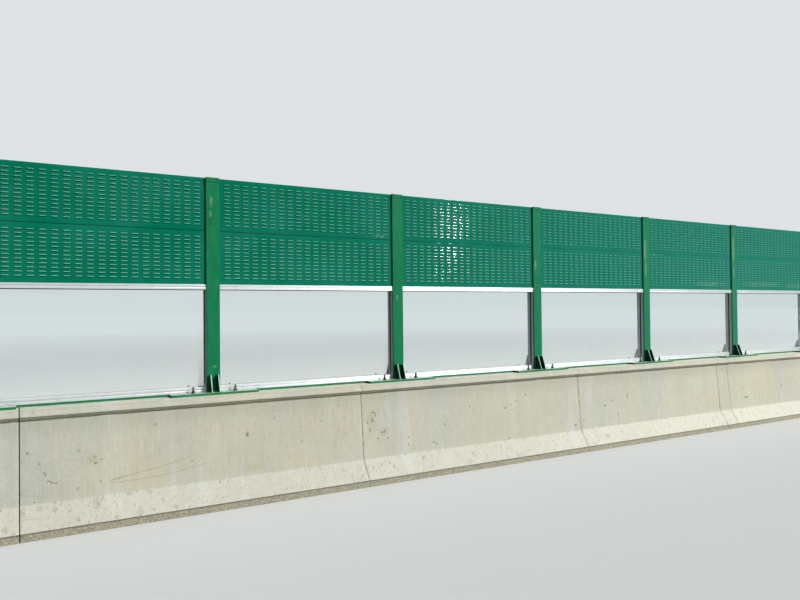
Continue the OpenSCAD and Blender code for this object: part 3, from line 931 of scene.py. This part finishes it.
nut = hexagon_nut(plate_top + WASHER_HIGH)
anchors = []
for post_x in POST_XS:
    for side in (-1, 1):
        for y in ANCHOR_Y:
            turn = rng.uniform(0.0, math.pi / 3)
            spin = np.array([
                [math.cos(turn), math.sin(turn), 0.0], [-math.sin(turn), math.cos(turn), 0.0], [0, 0, 1.0]
            ])
            here = np.array([post_x + side * ANCHOR_APART_X, y, 0.0])
            for shape_points, shape_faces in (stud, washer, nut):
                anchors.append((shape_points @ spin + here, shape_faces))
zinc = Finish("weathered_zinc", metallic=0.40, specular=0.3)
spangle = zinc.cloud(230)
zinc_wear = zinc.cloud((90, 90, 60), 3)
zinc.colour(zinc.blend(spangle, (74, 84, 82), (108, 118, 115)))
zinc.lay((96, 70, 50), zinc.ease(zinc_wear, 0.58, 0.72))
# Faces turned away from the lamp are painted darker: painted shade
zinc.tone(zinc.spread(zinc.facing(0, -0.1, -0.7), 1.0, 0.30))
zinc.roughness(zinc.spread(zinc_wear, 0.42, 0.70))
zinc.bump(spangle, 0.0002)
show("anchor_studs_and_nuts", coated(gathered("anchors", anchors), zinc), "bolt_zinc", "anchor_bolts")

# Frames of the glazed units: grooved aluminium rails and stiles, mill finished and gone slightly dull.
# They drop between the posts and rest on the base plates.
BAYS = 6
FRAME_EDGE = 0.0008
RAIL_HIGH = 0.0472

aluminium = Finish("mill_aluminium", metallic=0.5, specular=0.4)
drawn = aluminium.cloud((5, 340, 340), 3, 0.6)
oxide = aluminium.cloud((14, 14, 14), 4, 0.6)
aluminium.colour(aluminium.blend(drawn, (206, 210, 211), (226, 230, 231)))
aluminium.lay((190, 194, 195), aluminium.ease(oxide, 0.50, 0.72), 0.5)
aluminium.roughness(aluminium.spread(oxide, 0.40, 0.52))
aluminium.shader.inputs["Anisotropic"].default_value = 0.8
across_the_drawing = aluminium.node("ShaderNodeCombineXYZ", {"Z": 1.0})
aluminium.tree.links.new(across_the_drawing.outputs[0], aluminium.shader.inputs["Tangent"])
aluminium.bump(drawn, 0.00012)
# The stiles stand back in the shade of the posts; they are painted a darker grey as painted shade, lighter
# towards the right end as painted sheen
stile_shade_aluminium = Finish("stile_aluminium_shade", metallic=0.25, specular=0.3)
drawn_up = stile_shade_aluminium.cloud((340, 340, 5), 3, 0.6)
stile_shade_aluminium.colour(stile_shade_aluminium.blend(drawn_up, (142, 148, 151), (160, 166, 169)))
stile_shade_aluminium.tone(stile_shade_aluminium.grazing_end_ramp(1.05, 1.75))
stile_shade_aluminium.roughness(stile_shade_aluminium.spread(drawn_up, 0.50, 0.62))
stile_shade_aluminium.bump(drawn_up, 0.00012)
for number in range(1, BAYS + 1):
    node_name = f"glazing_frame_{number}"
    mesh = coated(eased(node_name, FRAME_EDGE), aluminium, stile_shade_aluminium)
    low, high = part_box(node_name)
    for face in mesh.polygons:
        between_rails = low.z + RAIL_HIGH < face.center.z < high.z - RAIL_HIGH
        face.material_index = int(between_rails)
    show(f"aluminium_frame_{number}", mesh, "frame_aluminium", node_name)

# Gaskets: U-section black rubber round each pane, pressed into the slots of the frame.
rubber = Finish("gasket_rubber", specular=0.3)
rubber_dust = rubber.cloud(40, 4, 0.65)
rubber.colour(rubber.blend(rubber.spread(rubber_dust, 0.0, 0.35), (18, 20, 20), (70, 70, 66)))
# Low down the gasket is pale grey: dust, and painted light where it lies open to the lamp on the bottom
# rail
rubber.lay((168, 168, 158), rubber.ease(rubber.z, 1.12, 1.08), rubber.spread(rubber_dust, 0.75, 1.0))
rubber.roughness(rubber.spread(rubber_dust, 0.50, 0.80))
rubber.bump(rubber.cloud(300), 0.0001)
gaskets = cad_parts["pane_gaskets"]
coated(gaskets.data, rubber)

# Panes: clear sheets 10 mm thick, with a film of road dust along their lower edges.
# Lamps shine through them, so that they throw no dark shadow.
clear = Finish("clear_pane", roughness=0.02)
clear.shader.inputs["IOR"].default_value = 1.49
dust_cloud = clear.cloud((3, 3, 2), 4, 0.6)
dust_fine = clear.cloud((90, 90, 60), 3, 0.7)
low_down = clear.ease(clear.plus(clear.z, clear.spread(dust_cloud, 0.10, -0.10)), 1.42, 1.06)
film = clear.times(low_down, clear.spread(dust_fine, 0.35, 1.0), 0.16)
film = clear.plus(clear.calc("MAXIMUM", film, clear.times(clear.specks(60, 0.10, 0.11), 0.20)), 0.012)
clear.colour(clear.blend(film, (240, 248, 247), (205, 204, 196)))
give(clear.tree, clear.shader.inputs["Transmission Weight"], clear.calc("SUBTRACT", 1.0, film))
clear.roughness(clear.plus(clear.times(film, 0.5), 0.01))
let_through = clear.node("ShaderNodeBsdfTransparent", {"Color": (0.88, 0.93, 0.92, 1.0)})
pane_look = choose(
    clear.tree, ray_is(clear.tree, "Is Shadow Ray"), clear.shader.outputs[0], let_through.outputs[0]
)
clear.tree.links.new(pane_look, clear.tree.nodes["Material Output"].inputs["Surface"])
for number in range(1, BAYS + 1):
    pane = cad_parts[f"clear_pane_{number}"]
    coated(pane.data, clear)

# Louvred panels: closed aluminium casings with a sound-absorbing core, powder coated bluish green.
# Rows of hoods are pressed out of the front sheet, each open along its lower lip.
HOOD_COLUMNS = 20
HOOD_ROWS = 12
HOOD_PITCH_X = 0.0905
HOOD_PITCH_Z = 0.0350
HOOD_RISE = 0.008
HOOD_HALF = 0.029
HOOD_HIGH = 0.0150
HOOD_OUT = 0.0080
HOOD_MOUTH = 0.0060
HOOD_ROOT = 0.0012
LIP_T = 0.0012
LIP_FOOT = 0.0003
CASING_FOLD = 0.0045
CASING_STEP = 0.045
SHEET_WAVE = 0.0005
SHEET_MARGIN = 0.04
PANEL_GREEN = (0, 112, 84)
PANEL_GREEN_PALE = (18, 120, 95)
PANEL_GREEN_SHEEN = (38, 134, 113)
HOOD_SHEEN_AND_DUST = (164, 206, 190)
HANDLED_PALE = (188, 208, 196)
SEAM_DIRT_AND_SHADE = (34, 44, 34)
# Scratched places along the panels' edges: x, z, half length and half height
HANDLED = (
    (-2.200, 2.560, 0.100, 0.014), (2.200, 2.508, 0.160, 0.012), (3.450, 2.110, 0.420, 0.036),
    (4.700, 2.115, 0.560, 0.046), (5.650, 2.100, 0.260, 0.050),
)

# Stations across a hood, and its section from the root down to the lip: share of the height, share
# of the reach. A nearly flat front curves out into the lip, and the middle stays straight.
HOOD_ROUND_FROM = 0.76
HOOD_STRAIGHT_TO = 0.71
hood_across = np.array([0.0, HOOD_STRAIGHT_TO, HOOD_ROUND_FROM, 0.88, 0.96, 1.0])
hood_across = np.concatenate((-hood_across[:0:-1], hood_across[1:]))
hood_section = (
    (0.0, 0.0), (0.31, 0.13), (0.51, 0.234), (0.66, 0.325), (0.84, 0.587), (0.94, 0.804), (1.0, 1.0)
)


def pressed_hood():
    """Points and faces of one hood at the origin, its lip at -HOOD_HIGH / 2 and the sheet at y = 0,
    and which of the faces lie in its mouth."""
    points = []
    for u in hood_across:
        past = max(0.0, (abs(u) - HOOD_ROUND_FROM) / (1.0 - HOOD_ROUND_FROM))
        size = max(0.06, math.sqrt(1.0 - past * past))
        section = [
            (HOOD_ROOT - (HOOD_OUT * size + HOOD_ROOT) * reach, HOOD_HIGH * size * (1 - down))
            for down, reach in hood_section
        ]
        section.append((-HOOD_OUT * size + LIP_T, LIP_FOOT))
        section.append((HOOD_ROOT, HOOD_MOUTH * size))
        points += [(u * HOOD_HALF, y, z - HOOD_HIGH / 2) for y, z in section]
    around = len(section)
    faces = skin(around, len(hood_across))
    in_mouth = [k % around == len(hood_section) for k in range(len(faces) - 2)]
    return np.array(points), faces, in_mouth + [False, False]


coat = Finish("panel_paint", specular=0.035)
sheet_tone = coat.cloud((1.6, 1.6, 2.2), 3, 0.55)
sheet_fine = coat.cloud((30, 30, 14), 4, 0.65)
coat.colour(coat.blend(coat.ease(sheet_tone, 0.35, 0.68), PANEL_GREEN, PANEL_GREEN_PALE))
# Paler towards the right end: painted sheen of the panels seen at a grazing angle
coat.lay(PANEL_GREEN_SHEEN, coat.grazing_end_ramp())
coat.tone(coat.spread(sheet_fine, 0.93, 1.07))
# The hoods are painted pale where they lean back: painted reflection of the bright sky, and dust
coat.lay(HOOD_SHEEN_AND_DUST, coat.facing(2, 0.42, 0.78), 0.68)
scratches = coat.ease(coat.cloud((46, 46, 150), 4, 0.75), 0.54, 0.64)
coat.lay(HANDLED_PALE, coat.spots(sheet_fine, 0.8, HANDLED), scratches, 0.75)
seam_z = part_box("louvre_panel_upper_1")[0].z
# A dark line along the seam: dirt, and painted shade in the groove; it fades towards the right end
coat.lay(SEAM_DIRT_AND_SHADE, coat.stripe(coat.z, seam_z, 0.0045, 0.0015), coat.grazing_end_ramp(1.0, 0.45))
coat.roughness(coat.spread(sheet_fine, 0.06, 0.07))
coat.bump(coat.cloud(320), 0.00002)

fleece = Finish("absorber_fleece", roughness=0.95, specular=0.1)
fleece.colour(fleece.blend(fleece.cloud(500), (8, 40, 32), (16, 60, 46)))

hood_points, hood_faces, hood_dark = pressed_hood()
for level_name in ("lower", "upper"):
    for number in range(1, BAYS + 1):
        node_name = f"louvre_panel_{level_name}_{number}"
        low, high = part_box(node_name)
        face_y = low.y + HOOD_OUT
        corners = (
            (face_y, high.z, CASING_FOLD, 0.022, 1.0),
            (face_y, low.z, CASING_FOLD, 0.020, 0.0),
            (high.y, low.z, CASING_FOLD, 0.050, 0.4),
            (high.y, high.z, CASING_FOLD, 0.020, 0.0),
        )
        casing, casing_out, wavy = rounded_outline(corners, CORNER_STEPS)
        seed = 10.0 * number + (5.0 if level_name == "upper" else 0.0)

        def sheet_shift(x, z, share):
            """How far the sheet bellies at x, z; nothing at its edges."""
            edge = min(1.0, (z - low.z) / SHEET_MARGIN, (high.z - z) / SHEET_MARGIN)
            return -SHEET_WAVE * share * edge * (1.0 + noise.noise(Vector((x * 3.1, seed, z * 4.3))))

        cells = round((high.x - low.x) / CASING_STEP)
        rings = []
        for c in range(cells + 1):
            x = low.x + (high.x - low.x) * c / cells
            rings.append(np.array([
                (x, y + ny * sheet_shift(x, z, share), z)
                for (y, z), (ny, nz), share in zip(casing, casing_out, wavy)
            ]))
        mesh = loft(node_name, rings)
        middle_x = (low.x + high.x) / 2
        middle_z = (low.z + high.z) / 2
        points = [tuple(v.co) for v in mesh.vertices]
        faces = [tuple(p.vertices) for p in mesh.polygons]
        dark = [False] * len(faces)
        for row in range(HOOD_ROWS):
            for column in range(HOOD_COLUMNS):
                x = middle_x + (column - (HOOD_COLUMNS - 1) / 2) * HOOD_PITCH_X
                z = middle_z + HOOD_RISE + (row - (HOOD_ROWS - 1) / 2) * HOOD_PITCH_Z
                y = face_y - sheet_shift(x, z, 1.0)
                base = len(points)
                points.extend(map(tuple, hood_points + (x, y, z)))
                faces.extend(tuple(base + v for v in face) for face in hood_faces)
                dark.extend(hood_dark)
        mesh.clear_geometry()
        mesh.from_pydata(points, [], faces)
        coated(mesh, coat, fleece)
        mesh.polygons.foreach_set("material_index", np.array(dark, np.int32))
        mesh.shade_smooth()
        mesh.set_sharp_from_angle(angle=math.radians(42))
        show(f"louvred_panel_{level_name}_{number}", mesh, "panel_paint", node_name)
